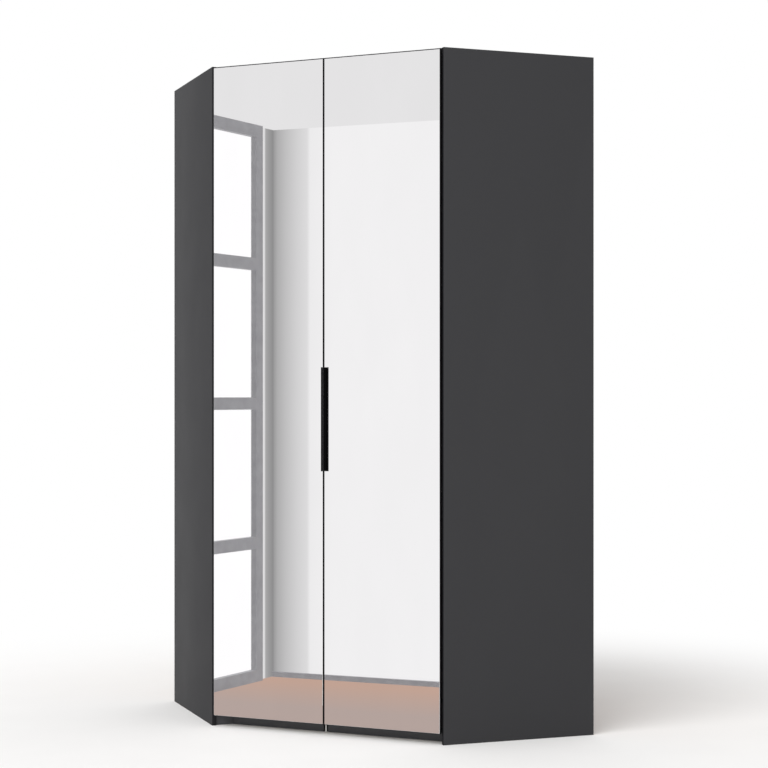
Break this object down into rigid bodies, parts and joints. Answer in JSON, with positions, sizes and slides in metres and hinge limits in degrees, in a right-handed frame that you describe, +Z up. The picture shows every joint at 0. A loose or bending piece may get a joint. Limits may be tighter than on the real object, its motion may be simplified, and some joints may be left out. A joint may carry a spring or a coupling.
{
  "type": "corner wardrobe",
  "caption": "Full-height corner wardrobe with a diagonal front, mirrored double doors on concealed hinges, a shelf column, a hat shelf and a hanging rail.",
  "frame": {"origin": "on the floor, under the middle of the square that the wardrobe takes up in the room's corner", "axes": "+Z up; the walls are the planes at the +X and +Y ends, and the doors face between -X and -Y"},
  "size_m": [1.2, 1.2, 2.36],
  "materials": {
    "graphite_board": "graphite grey melamine on chipboard, fine satin texture",
    "door_board": "graphite grey melamine on chipboard, fine satin texture",
    "linen_board": "pale grey melamine on chipboard, printed with a linen weave",
    "hardboard": "brown hardboard, printed inside with a pale grey linen weave",
    "mirror_glass": "silvered float glass with polished edges",
    "black_aluminium": "black anodised",
    "steel": "nickel plated",
    "grey_plastic": "moulded, matt"
  },
  "bodies": {
    "carcass": {"left_side_panel": "graphite_board", "right_side_panel": "graphite_board", "top_board": "graphite_board", "bottom_board": "linen_board", "hat_shelf": "linen_board", "corner_post": "linen_board", "partition": "linen_board", "shelf_1": "linen_board", "shelf_2": "linen_board", "shelf_3": "linen_board", "shelf_4": "linen_board", "left_plinth": "graphite_board", "right_plinth": "graphite_board", "plinth_return": "graphite_board", "plinth_connector": "grey_plastic", "left_back_panel": "hardboard", "right_back_panel": "hardboard", "hanging_rail": "steel", "rail_socket": "steel", "rail_hanger": "steel", "left_wall_angle": "steel", "right_wall_angle": "steel", "left_hinge_plate_1": "steel", "left_hinge_plate_2": "steel", "left_hinge_plate_3": "steel", "left_hinge_plate_4": "steel", "left_hinge_arm_1": "steel", "left_hinge_arm_2": "steel", "left_hinge_arm_3": "steel", "left_hinge_arm_4": "steel", "right_hinge_plate_1": "steel", "right_hinge_plate_2": "steel", "right_hinge_plate_3": "steel", "right_hinge_plate_4": "steel", "right_hinge_arm_1": "steel", "right_hinge_arm_2": "steel", "right_hinge_arm_3": "steel", "right_hinge_arm_4": "steel"},
    "left_door": {"left_door_board": "door_board", "left_mirror": "mirror_glass", "left_hinge_cup_1": "steel", "left_hinge_cup_2": "steel", "left_hinge_cup_3": "steel", "left_hinge_cup_4": "steel"},
    "right_door": {"right_door_board": "door_board", "right_mirror": "mirror_glass", "door_handle": "black_aluminium", "right_hinge_cup_1": "steel", "right_hinge_cup_2": "steel", "right_hinge_cup_3": "steel", "right_hinge_cup_4": "steel"},
    "left_links": {"left_hinge_link_1": "steel", "left_hinge_link_2": "steel", "left_hinge_link_3": "steel", "left_hinge_link_4": "steel"},
    "right_links": {"right_hinge_link_1": "steel", "right_hinge_link_2": "steel", "right_hinge_link_3": "steel", "right_hinge_link_4": "steel"}
  },
  "joints": [
    {"name": "left_door_swing", "type": "hinge", "parent": "carcass", "child": "left_door", "pos_m": [-0.58833, 0.02433, 1.18], "axis": [0, 0, -1], "range_deg": [0, 95]},
    {"name": "right_door_swing", "type": "hinge", "parent": "carcass", "child": "right_door", "pos_m": [0.02433, -0.58833, 1.18], "axis": [0, 0, 1], "range_deg": [0, 95]},
    {"name": "left_links_turn", "type": "hinge", "parent": "carcass", "child": "left_links", "pos_m": [-0.5748, 0.0424, 1.18], "axis": [0, 0, -1], "range_deg": [0, 41]},
    {"name": "right_links_turn", "type": "hinge", "parent": "carcass", "child": "right_links", "pos_m": [0.0424, -0.5748, 1.18], "axis": [0, 0, 1], "range_deg": [0, 41]}
  ],
  "couplings": [
    {"joint": "left_links_turn", "follows": "left_door_swing", "ratio": 0.43},
    {"joint": "right_links_turn", "follows": "right_door_swing", "ratio": 0.43}
  ]
}
